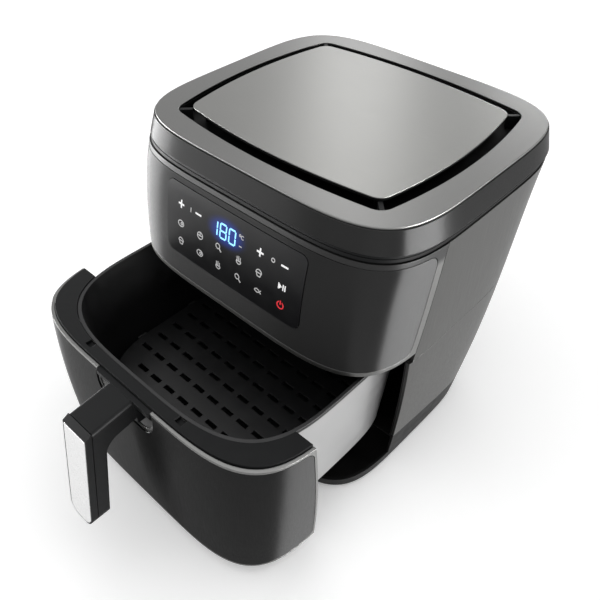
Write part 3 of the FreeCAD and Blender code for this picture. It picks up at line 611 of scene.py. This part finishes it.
print("floor of", 2 * floor_half, "m, lifted from", lift_start, "m outwards")

# %% [markdown]
# ## World
# The world is the light from all round. The camera and mirror-like surfaces see it pure white, as
# in a white studio, but it lights matte surfaces with only part of that strength, so that the
# lamps still shape the object.

# %% World
fill_strength = 0.3
world = bpy.data.worlds.new("studio_world")
bpy.context.scene.world = world
world.use_nodes = True
sky = world.node_tree.nodes["Background"]
sky.inputs["Color"].default_value = (1, 1, 1, 1)
rays = add_node(world, "LightPath")
mirrored = add_node(world, "Math", links={0: rays.outputs["Is Camera Ray"], 1: rays.outputs["Is Glossy Ray"]},
                    operation="MAXIMUM")
seen = add_node(world, "Math", links={0: mirrored.outputs[0], 1: rays.outputs["Is Transmission Ray"]},
                operation="MAXIMUM")
direct = add_node(world, "MapRange", {"To Min": fill_strength, "To Max": 1.0}, {"Value": seen.outputs[0]})
join(world, direct.outputs["Result"], sky.inputs["Strength"])
print("world is white where it is seen, and fills with", fill_strength)

# %% [markdown]
# ## Soft boxes
# One wide box overhead lights the object and makes the shadow. The others only show as streaks in
# the satin surfaces: they are kept from lighting matte ones, which would burn out. Apart from the
# lid's own box they stand low, so that their streaks fall on the upright flanks and not on the lid.

# %% Soft boxes
middle = (np.array(cad_box[0]) + np.array(cad_box[1])) / 2
far = 2.3


def soft_box(name, azimuth, elevation, distance, width, height, radiance, fill=False):
    """An area lamp that looks at the object's middle. Its power is pi times area times radiance."""
    az = radians(azimuth)
    el = radians(elevation)
    away = np.array([np.sin(az) * np.cos(el), -np.cos(az) * np.cos(el), np.sin(el)])
    lamp = bpy.data.lights.new(name, "AREA")
    lamp.shape = "RECTANGLE"
    lamp.size = width
    lamp.size_y = height
    lamp.energy = np.pi * width * height * radiance
    box_object = bpy.data.objects.new(name, lamp)
    box_object.location = (middle + away * distance).tolist()
    box_object.rotation_euler = (radians(90) - el, 0, az)
    box_object.visible_camera = False
    box_object.visible_diffuse = fill
    bpy.context.scene.collection.objects.link(box_object)
    print(name, "gives", round(lamp.energy), "W")


# The even light from above, and the soft shadow.
soft_box("overhead_box", 0, 88, 3.0, 4.4, 4.4, 1.45, True)
# A pale band across the brushed lid.
soft_box("lid_box", -144, 34, far, 0.38, 1.1, 2.8)
# The streaks on the right flank and round the right corner of the fronts.
soft_box("right_box", 103, 5, far, 1.95, 0.55, 66)
# The streaks on the left part of the fronts.
soft_box("left_box", -71, 3, far, 1.3, 0.4, 66)
# Light from behind for the far edges and the back of the shells.
soft_box("back_box", -165, 8, far, 0.5, 0.6, 20)
# A faint sheen on the fronts, just left of their middle.
soft_box("front_box", -42, 3, far, 0.8, 0.4, 12)

# %% [markdown]
# ## Camera
# The camera stands where the photographer stood: right of the front and well above, close
# enough for strong perspective. Its place is measured from the middle of the rim's top, and its
# focal length is given as a share of the picture's width.

# %% Camera
camera_azimuth = 43.02
camera_elevation = 42.98
camera_from_rim = np.array([332.4, -417.3, 274.9]) * MM
focal_share = 674.12 / 600.0
ring_low, ring_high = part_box("top_ring")
rim_middle = np.array([(ring_low.x + ring_high.x) / 2, (ring_low.y + ring_high.y) / 2, ring_high.z])
lens_data = bpy.data.cameras.new("photo_camera")
lens_data.sensor_width = 36.0
lens_data.lens = focal_share * lens_data.sensor_width
lens_data.clip_start = 0.01
camera = bpy.data.objects.new("photo_camera", lens_data)
camera.location = (rim_middle + camera_from_rim).tolist()
camera.rotation_euler = (radians(90 - camera_elevation), 0, radians(camera_azimuth))
bpy.context.scene.collection.objects.link(camera)
bpy.context.scene.camera = camera
bpy.context.scene.view_settings.view_transform = "Standard"
print("camera stands", round(float(np.linalg.norm(camera_from_rim)), 3), "m from the rim's middle")
